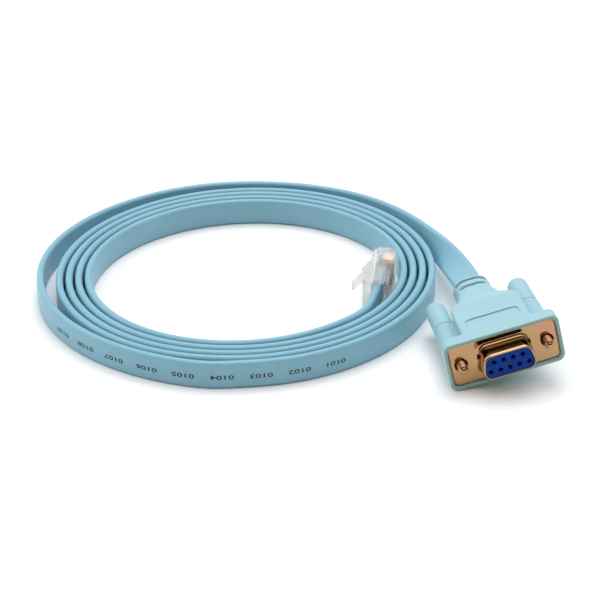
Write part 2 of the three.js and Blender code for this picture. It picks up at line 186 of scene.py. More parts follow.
def hoodFinish():
    material, nodes, place = newFinish("hoodVinyl")
    drift = nodes.noise(place, vinyl["mottle"], 3.0)
    speck = nodes.noise(place, vinyl["grain"], 2.0, 0.6)
    base = vinyl["hood"]
    colour = nodes.mix(drift, rgba(base, 0.94), rgba((base[0] * 1.07, base[1] * 1.04, base[2] * 1.03)))
    colour = nodes.mix(nodes.ramp(speck, 0.5, 0.8) * 0.10, colour, rgba(base, 0.86))
    # painted shade: the hood's front rim is mixed toward a darker grey-green, the shade that face lies in
    rim = nodes.add("ShaderNodeAttribute", {"attribute_name": "rim"}, None, 2)
    colour = nodes.mix(rim * (0.75 + drift * 0.4), colour, rgba(vinyl["rim"]))
    close(nodes, {
        "Base Color": colour,
        "Roughness": 0.44 + drift * 0.14,
        "IOR": 1.48,
        "Normal": nodes.bump(speck, 0.12, 0.00012),
    })
    return material


plating = {
    "gold": (0.46, 0.275, 0.125),
    "pink": (0.48, 0.25, 0.16),
    "olive": (0.31, 0.25, 0.11),
}


def platingFinish():
    material, nodes, place = newFinish("yellowPlating")
    patches = nodes.noise(place, 130, 3.0, 0.6)
    tint = nodes.noise(place, 75, 2.0)
    streaks = nodes.noise(nodes.add("ShaderNodeMapping", None, {0: place, 3: (500, 4000, 2600)}), 1.0, 3.0)
    colour = nodes.mix(nodes.ramp(patches, 0.42, 0.62), rgba(plating["gold"]), rgba(plating["pink"]))
    colour = nodes.mix(nodes.ramp(tint, 0.5, 0.68) * 0.75, colour, rgba(plating["olive"]))
    close(nodes, {
        "Base Color": colour,
        "Metallic": 1.0,
        "Roughness": 0.03 + streaks * 0.04 + patches * 0.03,
        "Normal": nodes.bump(streaks, 0.02, 0.00003),
    })
    return material


def contactFinish():
    material, nodes, place = newFinish("contactGold")
    drift = nodes.noise(place, 600, 2.0)
    colour = nodes.mix(drift, rgba((0.86, 0.55, 0.24)), rgba((0.98, 0.72, 0.40)))
    close(nodes, {"Base Color": colour, "Metallic": 1.0, "Roughness": 0.16 + drift * 0.14})
    return material


def sleeveFinish():
    material, nodes, place = newFinish("agedContact")
    drift = nodes.noise(place, 900, 2.0)
    colour = nodes.mix(drift, rgba((0.035, 0.018, 0.008)), rgba((0.07, 0.036, 0.014)))
    close(nodes, {"Base Color": colour, "Metallic": 0.6, "Roughness": 0.42 + drift * 0.2})
    return material


def insulatorFinish():
    material, nodes, place = newFinish("insulatorBlue")
    drift = nodes.noise(place, 380, 3.0)
    speck = nodes.noise(place, 6000, 2.0)
    colour = nodes.mix(drift, rgba((0.002, 0.030, 0.235)), rgba((0.004, 0.045, 0.31)))
    close(nodes, {
        "Base Color": colour,
        "Specular IOR Level": 0.09,
        "Roughness": 0.34 + drift * 0.16,
        "Normal": nodes.bump(speck, 0.08, 0.0001),
    })
    return material


clearPlastic = {
    "dull": (0.96, 0.95, 0.945), "bright": (1.0, 0.99, 0.985), "hazeScale": 900,
    "bend": 1.45, "seeThrough": 0.8, "cover": 0.62,
}


def clearFinish():
    material, nodes, place = newFinish("clearPolycarbonate")
    haze = nodes.noise(place, clearPlastic["hazeScale"], 3.0)
    colour = nodes.mix(haze, rgba(clearPlastic["dull"]), rgba(clearPlastic["bright"]))
    close(nodes, {
        "Base Color": colour,
        "Roughness": 0.01 + haze * 0.03,
        "IOR": clearPlastic["bend"],
        "Transmission Weight": clearPlastic["seeThrough"],
        "Alpha": clearPlastic["cover"],
        "Normal": nodes.bump(haze, 0.02, 0.0003),
    })
    return material


def wireFinish(name, colour):
    material, nodes, place = newFinish(name)
    drift = nodes.noise(place, 1500, 2.0)
    close(nodes, {
        "Base Color": nodes.mix(drift, rgba(colour, 0.85), rgba(colour, 1.1)),
        "Roughness": 0.38 + drift * 0.2,
    })
    return material


ink = {"fresh": (0.006, 0.012, 0.02), "worn": (0.03, 0.06, 0.09), "wearScale": 3000, "roughness": 0.5}


def inkFinish():
    material, nodes, place = newFinish("printInk")
    wear = nodes.noise(place, ink["wearScale"], 2.0)
    colour = nodes.mix(nodes.ramp(wear, 0.5, 0.8), rgba(ink["fresh"]), rgba(ink["worn"]))
    close(nodes, {"Base Color": colour, "Roughness": ink["roughness"]})
    return material


finishes = {
    "jacket": jacketFinish(),
    "hood": hoodFinish(),
    "plating": platingFinish(),
    "contact": contactFinish(),
    "sleeve": sleeveFinish(),
    "insulator": insulatorFinish(),
    "clear": clearFinish(),
    "ink": inkFinish(),
}
print("finishes made")


# Meshes

def makePiece(name, points, faces, material, body=rootBody):
    mesh = bpy.data.meshes.new(name)
    mesh.from_pydata(np.asarray(points).tolist(), [], faces)
    mesh.update()
    mesh.shade_smooth()
    mesh.materials.append(material)
    piece = bpy.data.objects.new(name, mesh)
    bpy.context.scene.collection.objects.link(piece)
    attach(piece, body)
    return piece


def turnMatrix(axis, angle):
    c = math.cos(math.radians(angle))
    s = math.sin(math.radians(angle))
    if axis == "z":
        return np.array([[c, -s, 0], [s, c, 0], [0, 0, 1]])
    return np.array([[c, 0, s], [0, 1, 0], [-s, 0, c]])


seats = {
    "coil": {"place": (-72.28, 40.8425, 0), "turn": np.eye(3)},
    "plug": {"place": (-30.88, 36.4425, 5.84), "turn": turnMatrix("z", -8.5)},
    "connector": {
        "place": (1.52, -16.3575, 10.745),
        "turn": turnMatrix("z", 9.73) @ turnMatrix("y", -13.59),
    },
}


def seated(points, seat):
    return (np.asarray(points) @ seats[seat]["turn"].T + seats[seat]["place"]) * mm


def revolved(profile, segments):  # points [radius, y] turned about y, both ends closed
    angles = np.arange(segments) * 2 * math.pi / segments
    rings = [[(radius * math.cos(a), y, radius * math.sin(a)) for a in angles] for radius, y in profile]
    points = [point for ring in rings for point in ring]
    faces = []
    for ring in range(len(profile) - 1):
        for index in range(segments):
            after = (index + 1) % segments
            low, high = ring * segments, (ring + 1) * segments
            faces.append((low + index, high + index, high + after, low + after))
    faces.append(tuple(range(segments)))
    last = (len(profile) - 1) * segments
    faces.append(tuple(last + segments - 1 - index for index in range(segments)))
    return np.array(points), faces


# Cable: the inner end, the close turns and the outer pass, on one route

cable = {
    "width": 8.4,
    "thickness": 2.14,
    "corner": 1.03,
    "cornerSteps": 6,
    "spacing": 2.2,         # between rings of the mesh
    "firstRadius": 45.9,
    "pitch": 2.85,          # growth of the radius each turn
    "startTurn": -0.15,
    "endTurn": 4.0,
    "pointsPerTurn": 24,
    "oval": 0.024,
    "ovalTurn": 38,
    "tail": [(41.32, -4.9, 1.64, 0), (40.15, -12.8, 1.64, 0), (38.7, -18.9, 1.4, 0)],
    "lead": [
        (-10.6, -57.1, 0, 0), (-25.6, -52.4, 0, 0), (-38.6, -44.6, 0, 0), (-49.4, -34.0, 0, 0),
        (-57.0, -21.4, 0, 0), (-60.7, -8.9, 0, 0), (-61.4, 5.0, 0, 0), (-58.4, 18.9, 0, 0),
        (-51.8, 31.9, 0, 0), (-41.8, 43.6, 0, 0), (-28.9, 53.0, 0, 0), (-13.9, 58.9, 0, 0),
        (1.8, 60.7, 0, 0), (17.4, 58.9, 0.03, 0), (32.0, 53.4, 0.12, 2), (43.7, 44.7, 0.3, 4),
        (52.2, 33.4, 0.8, 7), (57.4, 22.6, 1.6, 13), (60.9, 11.6, 3.1, 27), (63.8, -1.2, 5, 50),
        (65.9, -12.4, 6.4, 71), (66.95, -18.71, 6.8, 76.4), (67.35, -21.2, 6.85, 76.4),
    ],
    "exit": (66.95, -18.71, 6.8),
}


def closeTurns(cable):
    count = round((cable["endTurn"] - cable["startTurn"]) * cable["pointsPerTurn"])
    turns = []
    for t in np.linspace(cable["startTurn"], cable["endTurn"], count + 1):
        angle = math.radians(-90 - 360 * t)
        swell = 1 + cable["oval"] * math.cos(2 * (angle - math.radians(cable["ovalTurn"])))
        radius = (cable["firstRadius"] + cable["pitch"] * t) * swell
        rise = max(0, -t / 0.15) * 0.5
        turns.append((radius * math.cos(angle), radius * math.sin(angle), rise, 0))
    return turns


def smoothRoute(points, spacing):  # centripetal spline through the points, cut into even steps
    points = np.asarray(points, float)
    padded = np.vstack([2 * points[0] - points[1], points, 2 * points[-1] - points[-2]])
    stretches = []
    for a, b, c, d in zip(padded, padded[1:], padded[2:], padded[3:]):
        k1 = np.linalg.norm((b - a)[:3]) ** 0.5
        k2 = k1 + np.linalg.norm((c - b)[:3]) ** 0.5
        k3 = k2 + np.linalg.norm((d - c)[:3]) ** 0.5
        t = np.linspace(k1, k2, 24, endpoint=False)[:, None]
        ab = (k1 - t) / k1 * a + t / k1 * b
        bc = (k2 - t) / (k2 - k1) * b + (t - k1) / (k2 - k1) * c
        cd = (k3 - t) / (k3 - k2) * c + (t - k2) / (k3 - k2) * d
        abc = (k2 - t) / k2 * ab + t / k2 * bc
        bcd = (k3 - t) / (k3 - k1) * bc + (t - k1) / (k3 - k1) * cd
        stretches.append((k2 - t) / (k2 - k1) * abc + (t - k1) / (k2 - k1) * bcd)
    dense = np.vstack(stretches + [points[-1:]])
    reach = np.concatenate([[0], np.cumsum(np.linalg.norm(np.diff(dense[:, :3], axis=0), axis=1))])
    even = np.linspace(0, reach[-1], round(reach[-1] / spacing) + 1)
    return np.column_stack([np.interp(even, reach, column) for column in dense.T]), even


def unit(vectors):
    return vectors / np.linalg.norm(vectors, axis=-1, keepdims=True)


def tapeFrames(route):
    tangent = unit(np.gradient(route[:, :3], axis=0))
    outward = unit(np.cross([0, 0, 1], tangent))
    upright = np.cross(tangent, outward)
    turn = np.radians(route[:, 3:4])
    across = np.cos(turn) * upright - np.sin(turn) * np.cross(tangent, upright)
    return across, np.cross(across, tangent)


def roundedSection(thickness, width, corner, steps):
    points = []
    for cx, cy, start in ((1, -1, -90), (1, 1, 0), (-1, 1, 90), (-1, -1, 180)):
        for step in range(steps + 1):
            angle = math.radians(start + 90 * step / steps)
            points.append((cx * (thickness / 2 - corner) + corner * math.cos(angle),
                           cy * (width / 2 - corner) + corner * math.sin(angle)))
        if cx * cy > 0:
            continue
        for share in (0.25, 0.5, 0.75):
            points.append((cx * thickness / 2, cy * (width / 2 - corner) * (1 - 2 * share)))
    return np.array(points)


def makeCable(cable):
    lift = cable["width"] / 2
    points = [(x, y, rise + lift, turn)
              for x, y, rise, turn in cable["tail"] + closeTurns(cable) + cable["lead"]]
    route, reach = smoothRoute(points, cable["spacing"])
    across, facing = tapeFrames(route)
    section = roundedSection(cable["thickness"], cable["width"], cable["corner"], cable["cornerSteps"])
    aside = section[None, :, :1] * facing[:, None]
    upward = section[None, :, 1:] * across[:, None]
    rings = route[:, None, :3] + aside + upward
    size = len(section)
    count = len(route)
    ring, index = np.meshgrid(np.arange(count - 1), np.arange(size), indexing="ij")
    after = (index + 1) % size
    quads = np.stack([ring * size + index, ring * size + after,
                      (ring + 1) * size + after, (ring + 1) * size + index], -1).reshape(-1, 4)
    faces = quads.tolist()
    faces.append(list(range(size))[::-1])
    faces.append([(count - 1) * size + index for index in range(size)])
    piece = makePiece("flat_cable", seated(rings.reshape(-1, 3), "coil"), faces, finishes["jacket"])
    around = np.concatenate([[0], np.cumsum(np.linalg.norm(np.diff(section, axis=0), axis=1))])
    whole = around[-1] + np.linalg.norm(section[0] - section[-1])
    ends = np.concatenate([around[1:], [whole]])
    corners = np.stack([
        np.stack([reach[ring], around[index]], -1), np.stack([reach[ring], ends[index]], -1),
        np.stack([reach[ring + 1], ends[index]], -1), np.stack([reach[ring + 1], around[index]], -1),
    ], 2).reshape(-1, 2)
    caps = np.zeros((2 * size, 2))
    layer = piece.data.uv_layers.new(name="tape")
    layer.data.foreach_set("uv", (np.vstack([corners, caps]) * mm).ravel())
    return piece, route, reach


flatCable, cableRoute, cableReach = makeCable(cable)


# Length marks printed on the outer pass, head down as the cable lies

marks = {
    "first": 101,
    "count": 9,
    "firstPlace": 1334.0,   # along the cable from the plug
    "step": 10.9,
    "letterSize": 2.75,
    "wide": 1.15,
    "tall": 0.68,
    "bold": 0.06,
    "lift": 0.02,
    "drop": 0.35,
}


def makeMarks(marks):
    across, facing = tapeFrames(cableRoute)
    points, faces = [], []
    for index in range(marks["count"]):
        place = marks["firstPlace"] + marks["step"] * index
        curve = bpy.data.curves.new("mark", "FONT")
        curve.body = str(marks["first"] + index).zfill(4)
        curve.size = marks["letterSize"]
        curve.offset = marks["bold"]
        curve.space_character = 1.05
        curve.align_x = "CENTER"
        curve.align_y = "CENTER"
        text = bpy.data.objects.new("mark", curve)
        flat = bpy.data.meshes.new_from_object(text)
        start = len(points)
        for vertex in flat.vertices:
            along = place + vertex.co.x * marks["wide"]
            centre = [np.interp(along, cableReach, column) for column in cableRoute[:, :3].T]
            out = unit(np.array([np.interp(along, cableReach, column) for column in facing.T]))
            up = unit(np.array([np.interp(along, cableReach, column) for column in across.T]))
            points.append(centre + out * (cable["thickness"] / 2 + marks["lift"])
                          - up * (vertex.co.y * marks["tall"] + marks["drop"]))
        faces += [[start + vertex for vertex in polygon.vertices] for polygon in flat.polygons]
        bpy.data.objects.remove(text)
    return makePiece("length_marks", seated(points, "coil"), faces, finishes["ink"])


marksPiece = makeMarks(marks)


# Solids given by how far each point is from their surface

def roundedSlab(u, v, halfU, halfV, corner):
    a = np.abs(u) - halfU + corner
    b = np.abs(v) - halfV + corner
    return np.hypot(np.maximum(a, 0), np.maximum(b, 0)) + np.minimum(np.maximum(a, b), 0) - corner


def between(flat, w, low, high, edge):
    a = np.maximum(low - w, w - high) + edge
    b = flat + edge
    return np.hypot(np.maximum(a, 0), np.maximum(b, 0)) + np.minimum(np.maximum(a, b), 0) - edge


def merge(a, b, fillet):
    share = np.clip(0.5 + 0.5 * (b - a) / fillet, 0, 1)
    return b + (a - b) * share - fillet * share * (1 - share)


def carve(a, b, fillet):
    return -merge(-a, b, fillet)


def ease(value, low, high):
    share = np.clip((value - low) / (high - low), 0, 1)
    return share * share * (3 - 2 * share)


def spaced(*stretches):  # sample places from (low, high, step) stretches
    parts = [np.linspace(low, high, round((high - low) / step) + 1)[:-1] for low, high, step in stretches]
    return np.concatenate(parts + [[stretches[-1][1]]])


# Quads on the zero surface: a point in each crossed cell, then drawn onto the surface
def skin(distance, axes):
    grid = np.stack(np.meshgrid(*axes, indexing="ij"), -1)
    values = distance(grid[..., 0], grid[..., 1], grid[..., 2])
    cells = tuple(size - 1 for size in values.shape)
    total = np.zeros((np.prod(cells), 3))
    hits = np.zeros(np.prod(cells))
    quads = []
    for axis in range(3):
        second, third = (axis + 1) % 3, (axis + 2) % 3
        size = values.shape[axis]
        low = np.take(values, range(size - 1), axis)
        high = np.take(values, range(1, size), axis)
        crossed = np.argwhere((low < 0) != (high < 0))
        inner = ((crossed[:, second] > 0) & (crossed[:, third] > 0)
                 & (crossed[:, second] < cells[second]) & (crossed[:, third] < cells[third]))
        crossed = crossed[inner]
        a = low[tuple(crossed.T)]
        b = high[tuple(crossed.T)]
        point = grid[tuple(crossed.T)].copy()
        place = axes[axis]
        point[:, axis] += a / (a - b) * (place[crossed[:, axis] + 1] - place[crossed[:, axis]])
        corners = []
        for back, aside in ((1, 1), (0, 1), (0, 0), (1, 0)):
            cell = crossed.copy()
            cell[:, second] -= back
            cell[:, third] -= aside
            flat = np.ravel_multi_index(cell.T, cells)
            np.add.at(total, flat, point)
            np.add.at(hits, flat, 1)
            corners.append(flat)
        corners = np.stack(corners, 1)
        corners[a >= 0] = corners[a >= 0][:, ::-1]
        quads.append(corners)
    quads = np.vstack(quads)
    used = np.flatnonzero(hits)
    numbers = np.zeros(len(hits), int)
    numbers[used] = np.arange(len(used))
    points = total[used] / hits[used][:, None]
    nudge = 0.01
    for _ in range(3):
        here = distance(*points.T)
        slope = np.stack([(distance(*(points + nudge * step).T) - here) / nudge for step in np.eye(3)], 1)
        steep = np.maximum((slope ** 2).sum(1), 0.2)
        move = -(here / steep)[:, None] * slope
        reach = np.linalg.norm(move, axis=1, keepdims=True)
        points += move * np.minimum(1, 0.12 / np.maximum(reach, 1e-9))
    return points, numbers[quads].tolist()


def skinned(name, distance, axes, seat, finish, *nodes, body=rootBody):
    points, faces = skin(distance, axes)
    piece = makePiece(name, seated(points, seat), faces, finishes[finish], body)
    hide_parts(*nodes)
    print(name, "made,", len(faces), "faces")
    return piece


# D connector: hood

screwSpacing = 24.99

hood = {
    "face": (33.31, 15.05), "faceCorner": 2.3, "faceDepth": 4.4, "faceEdge": 0.35,
    "bodyWidth": 20.0, "neckWidth": 14.2, "collarWidth": 11.1,
    "shoulder": (17.2, 25.6), "topSlope": (18.0, 27.5), "collarStart": 26.0, "collarFull": 33.4,
    "neckHeight": 10.0, "collarHeight": 8.8, "end": 38.8,
    "bodyStart": 0.6, "bodyEdge": 0.45, "corner": 0.7, "cornerNeck": 2.1, "cornerCollar": 1.45,
    "sideDrop": 0.9, "rootFillet": 1.3,
    "wing": (3.65, 3.25), "wingStart": 1, "wingTaperStart": 6, "wingEnd": 20.0, "wingEdge": 0.35,
    "web": 1.6,
    "pocket": (31.1, 12.85), "pocketCorner": 1.75, "pocketDepth": 1.8, "pocketFillet": 0.45,
    "slots": ((34.0, 0.6, 3.15), (37.25, 0.55, 2.3)),   # middle, half width, height where it starts
    "slotFillet": 0.25,
    "panel": (15.6, 5.9), "panelMiddle": 7.85, "panelCorner": 1.6, "panelDepth": 0.42, "panelFillet": 0.12,
    "panelSlope": (4.9, 8.8),
    "bore": 1.72, "mouth": 2.15, "mouthDepth": 5,
    "entry": (4.4, 1.42), "entryCorner": 0.95, "entryStart": 36.2, "entryFillet": 0.3,
}


def dShape(x, z):  # distance from the D outline, wide side down
    corner, half, low, high = 2.59, 1.36, 5.078, 4.599
    u = np.abs(x)
    endX = u - np.minimum(u, np.where(z < 0, low, high))
    endZ = np.abs(z) - half
    sideX, sideZ = high - low, 2 * half
    share = np.clip(((high - u) * sideX + (half - z) * sideZ) / (sideX ** 2 + sideZ ** 2), 0, 1)
    slantX = u - high + sideX * share
    slantZ = z - half + sideZ * share
    inside = (slantX < 0) & (endZ < 0)
    near = np.sqrt(np.minimum(endX ** 2 + endZ ** 2, slantX ** 2 + slantZ ** 2))
    return np.where(inside, -near, near) - corner


def hoodDistance(x, y, z):
    side = screwSpacing / 2
    faceHalf, faceTop = hood["face"][0] / 2, hood["face"][1] / 2
    face = between(roundedSlab(x, z, faceHalf, faceTop, hood["faceCorner"]),
                   y, 0, hood["faceDepth"], hood["faceEdge"])
    neck = ease(y, *hood["shoulder"])
    along = np.clip((y - hood["collarStart"]) / (hood["collarFull"] - hood["collarStart"]), 0, 1)
    half = (hood["bodyWidth"] + (hood["neckWidth"] - hood["bodyWidth"]) * neck) / 2
    half = half + (hood["collarWidth"] - hood["neckWidth"]) / 2 * along
    slope = ease(y, *hood["topSlope"])
    rise = faceTop + (hood["neckHeight"] / 2 - faceTop) * slope
    rise = rise + (hood["collarHeight"] - hood["neckHeight"]) / 2 * along
    corner = hood["corner"] + hood["cornerNeck"] * slope + hood["cornerCollar"] * along
    start, end, edge = hood["bodyStart"], hood["end"], hood["bodyEdge"]
    body = between(roundedSlab(x, z, half, rise, corner), y, start, end, edge)
    lowBody = between(roundedSlab(x, z, half, rise - hood["sideDrop"], corner), y, start, end - 1, edge)
    bore = np.hypot(np.abs(x) - side, z)
    wide, narrow = hood["wing"]
    taper = wide + (narrow - wide) * ease(y, hood["wingTaperStart"], hood["wingEnd"])
    wing = between(bore - taper, y, hood["wingStart"], hood["wingEnd"], hood["wingEdge"])
    shape = np.minimum(merge(face, merge(lowBody, wing, hood["web"]), hood["rootFillet"]), body)
    width, height = hood["pocket"]
    pocket = between(roundedSlab(x, z, width / 2, height / 2, hood["pocketCorner"]),
                     y, -2, hood["pocketDepth"], 0.1)
    shape = carve(shape, pocket, hood["pocketFillet"])
    shape = np.maximum(shape, -between(dShape(x, z) - 0.2, y, 0, 3.2, 0.1))
    shape = np.maximum(shape, -between(bore - hood["bore"], y, 0, hood["wingEnd"] + 2, 0.1))
    shape = np.maximum(shape, -between(bore - hood["mouth"], y, 0, hood["mouthDepth"], 0.1))
    for middle, halfWidth, height in hood["slots"]:
        slot = np.maximum(np.abs(y - middle) - halfWidth, height - np.abs(z))
        shape = carve(shape, slot, hood["slotFillet"])
    floor = faceTop - hood["panelDepth"] * ease(y, *hood["panelSlope"])
    width, length = hood["panel"]
    panel = roundedSlab(x, y - hood["panelMiddle"], width / 2, length / 2, hood["panelCorner"])
    shape = carve(shape, np.maximum(panel, floor - z), hood["panelFillet"])
    entry = roundedSlab(x + 0.25, z - 0.25, *hood["entry"], hood["entryCorner"])
    return carve(shape, between(entry, y, hood["entryStart"], 42, 0.1), hood["entryFillet"])


hoodAxes = (
    spaced((-17.2, 17.2, 0.3)),
    spaced((-0.5, 2.2, 0.22), (2.2, 9.8, 0.34), (9.8, 11.4, 0.16), (11.4, 33, 0.34), (33, 39.4, 0.22)),
    spaced((-8.1, -7.2, 0.18), (-7.2, 6.9, 0.3), (6.9, 8.1, 0.13)),
)
hoodPiece = skinned("d_hood", hoodDistance, hoodAxes, "connector", "hood", "connector_hood")


def paintRimShade(piece):  # how much each point lies on the face's front rim, which takes the painted shade
    points = np.array([tuple(vertex.co) for vertex in piece.data.vertices]) / mm
    depth = ((points - seats["connector"]["place"]) @ seats["connector"]["turn"])[:, 1]
    layer = piece.data.attributes.new("rim", "FLOAT", "POINT")
    layer.data.foreach_set("value", 1 - ease(depth, 0.05, 0.4))


paintRimShade(hoodPiece)


# D connector: flange and drawn shell, insulator

shell = {
    "flange": (30.81, 12.55), "flangeCorner": 1.6, "front": 0.7, "thickness": 0.8,
    "reach": 6.0, "wall": 0.55, "baseFillet": 1.5, "lip": 1.0, "edge": 0.12,
    "hole": 1.75, "holeFillet": 0.35,
}


def shellDistance(x, y, z):
    outline = dShape(x, z)
    width, height = shell["flange"]
    plate = roundedSlab(x, z, width / 2, height / 2, shell["flangeCorner"])
    flange = between(plate, y, shell["front"], shell["front"] + shell["thickness"], shell["edge"])
    wall = between(outline, y, shell["front"] - shell["reach"], shell["front"] + 0.4, shell["lip"])
    shape = merge(flange, wall, shell["baseFillet"])
    shape = np.maximum(shape, y - shell["front"] - shell["thickness"])
    shape = carve(shape, outline + shell["wall"], shell["edge"])
    holes = np.hypot(np.abs(x) - screwSpacing / 2, z) - shell["hole"]
    return carve(shape, holes, shell["holeFillet"])


shellAxes = (
    spaced((-15.9, -9.4, 0.26), (-9.4, 9.4, 0.17), (9.4, 15.9, 0.26)),
    spaced((-5.7, -4.2, 0.12), (-4.2, -1.8, 0.24), (-1.8, 1.9, 0.12)),
    spaced((-6.8, 6.8, 0.17)),
)
shellPiece = skinned("d_shell", shellDistance, shellAxes, "connector", "plating", "connector_shell")


insulator = {
    "front": -4.95, "rear": 2.9, "inset": 0.57, "mouth": 0.62, "cell": 0.85, "countersink": 0.4,
    "cellStart": -3.95, "cellEnd": 2.2,
    "pitch": 2.77, "rows": ((1.42, 4, "upper"), (-1.42, 5, "lower")),   # height, count, name
}


def insulatorDistance(x, y, z):
    shape = between(dShape(x, z) + insulator["inset"], y, insulator["front"], insulator["rear"], 0.25)
    for height, count, _ in insulator["rows"]:
        for index in range(count):
            middle = (index - (count - 1) / 2) * insulator["pitch"]
            aside = np.hypot(x - middle, z - height)
            mouth = between(aside - insulator["mouth"], y, -9, insulator["cellStart"] + 0.15, 0.05)
            cell = between(aside - insulator["cell"], y, insulator["cellStart"], insulator["cellEnd"], 0.05)
            shape = np.maximum(carve(shape, mouth, insulator["countersink"]), -cell)
    return shape


insulatorAxes = (
    spaced((-8.1, 8.1, 0.15)),
    spaced((-5.3, -4.3, 0.14), (-4.3, 3.3, 0.3)),
    spaced((-3.9, 3.9, 0.15)),
)
insulatorPiece = skinned("d_insulator", insulatorDistance, insulatorAxes, "connector", "insulator",
                         "connector_insulator")


# Rows of equal pieces, by one Geometry Nodes tree

def rowTree():
    tree = bpy.data.node_groups.new("rowOfCopies", "GeometryNodeTree")
    for name, kind in (("Geometry", "Geometry"), ("Count", "Int"), ("First Place", "Vector"),
                       ("Step", "Vector"), ("Finish", "Material")):
        tree.interface.new_socket(name, in_out="INPUT", socket_type="NodeSocket" + kind)
    tree.interface.new_socket("Geometry", in_out="OUTPUT", socket_type="NodeSocketGeometry")
    add = tree.nodes.new
    link = tree.links.new
    given, result = add("NodeGroupInput"), add("NodeGroupOutput")
    line, copies = add("GeometryNodeMeshLine"), add("GeometryNodeInstanceOnPoints")
    realized, coated = add("GeometryNodeRealizeInstances"), add("GeometryNodeSetMaterial")
    link(given.outputs["Count"], line.inputs["Count"])
    link(given.outputs["First Place"], line.inputs["Start Location"])
    link(given.outputs["Step"], line.inputs["Offset"])
    link(line.outputs[0], copies.inputs["Points"])
    link(given.outputs["Geometry"], copies.inputs["Instance"])
    link(copies.outputs[0], realized.inputs[0])
    link(realized.outputs[0], coated.inputs["Geometry"])
    link(given.outputs["Finish"], coated.inputs["Material"])
    link(coated.outputs[0], result.inputs[0])
    return tree


rowOfCopies = rowTree()


# A row of copies about the given one, step apart in metres, as one plain mesh
def makeRow(name, points, faces, finish, count, step, nodes):
    piece = makePiece(name, points, faces, finishes[finish])
    modifier = piece.modifiers.new("row", "NODES")
    modifier.node_group = rowOfCopies
    sockets = rowOfCopies.interface.items_tree
    named = {item.name: item.identifier for item in sockets if item.in_out == "INPUT"}
    modifier[named["Count"]] = count
    modifier[named["First Place"]] = [-value * (count - 1) / 2 for value in step]
    modifier[named["Step"]] = list(step)
    modifier[named["Finish"]] = finishes[finish]
    depsgraph = bpy.context.evaluated_depsgraph_get()
    mesh = bpy.data.meshes.new_from_object(piece.evaluated_get(depsgraph))
    piece.modifiers.remove(modifier)
    piece.data = mesh
    mesh.shade_smooth()
    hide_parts(*nodes)
    return piece


sleeve = {"radius": 0.8, "bore": 0.5, "start": -3.85, "end": 1.7, "flare": 0.1}


def makeSleeves():
    profile = [
        (0.001, sleeve["start"] + 4), (sleeve["bore"], sleeve["start"] + 3.9),
        (sleeve["bore"], sleeve["start"] + 0.25), (sleeve["bore"] + sleeve["flare"], sleeve["start"]),
        (sleeve["radius"] - 0.06, sleeve["start"]), (sleeve["radius"], sleeve["start"] + 0.1),
        (sleeve["radius"], sleeve["end"] - 0.1), (sleeve["radius"] - 0.1, sleeve["end"]),
        (0.001, sleeve["end"]),
    ]
    points, faces = revolved(profile, 16)
    turn = seats["connector"]["turn"]
    for height, count, row in insulator["rows"]:
        placed = seated(points + [0, 0, height], "connector")
        step = turn @ [insulator["pitch"] * mm, 0, 0]
        nodes = [f"socket_contact_{row}_{index + 1}" for index in range(count)]
        piece = makeRow(f"socket_sleeves_{row}", placed, faces, "sleeve", count, step, nodes)


makeSleeves()


# Thumbscrews: threaded jackscrew and moulded knob, on each side

thumbscrew = {
    "radius": 1.42, "pitch": 0.635, "threadDepth": 0.3, "tip": -2.5, "threadEnd": 4.0, "end": 27.0,
    "knobStart": 20.3, "knobEnd": 34.3, "knobRadius": 3.12, "knobTaper": 0.12, "knobRound": 2.3,
    "segments": 36,
}


def threadedRod():
    values = thumbscrew
    rows = list(np.arange(values["tip"], values["threadEnd"], values["pitch"] / 8)) + [values["end"]]
    angles = np.arange(values["segments"]) * 2 * math.pi / values["segments"]
    points = []
    for y in rows:
        for angle in angles:
            phase = (y / values["pitch"] - angle / (2 * math.pi)) % 1
            cut = values["threadDepth"] * abs(2 * phase - 1) if y < values["threadEnd"] else 0
            point = min(1, 0.62 + 0.38 * (y - values["tip"]) / 0.6)
            radius = (values["radius"] - cut) * point
            points.append((radius * math.cos(angle), y, radius * math.sin(angle)))
    size = values["segments"]
    faces = []
    for row in range(len(rows) - 1):
        for index in range(size):
            after = (index + 1) % size
            faces.append((row * size + index, (row + 1) * size + index,
                          (row + 1) * size + after, row * size + after))
    faces.append(tuple(range(size)))
    faces.append(tuple((len(rows) - 1) * size + size - 1 - index for index in range(size)))
    return np.array(points), faces


def knobProfile():
    values = thumbscrew
    radius, rounded, end = values["knobRadius"], values["knobRound"], values["knobEnd"]
    bore = values["radius"] + 0.3
    profile = [(0.001, values["end"] + 0.3), (bore, values["end"] + 0.3), (bore, values["knobStart"]),
               (radius - 0.45, values["knobStart"]), (radius - 0.13, values["knobStart"] + 0.13),
               (radius, values["knobStart"] + 0.45)]
    back = radius - values["knobTaper"]
    for step in range(11):
        angle = math.radians(90 * step / 10)
        profile.append((back - rounded + rounded * math.cos(angle),
                        end - rounded + rounded * math.sin(angle)))
    return profile + [(0.001, end)]


def makeThumbscrews():
    for name, side in (("left", -1), ("right", 1)):
        aside = [side * screwSpacing / 2, 0, 0]
        points, faces = threadedRod()
        screw = makePiece(f"{name}_screw", seated(points + aside, "connector"), faces,
                          finishes["plating"], f"{name}_thumbscrew")
        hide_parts(f"{name}_jackscrew")
        points, faces = revolved(knobProfile(), 48)
        knob = makePiece(f"{name}_knob", seated(points + aside, "connector"), faces,
                         finishes["hood"], f"{name}_thumbscrew")
        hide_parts(f"{name}_thumbscrew_knob")


makeThumbscrews()
print("thumbscrews made")


# Modular plug

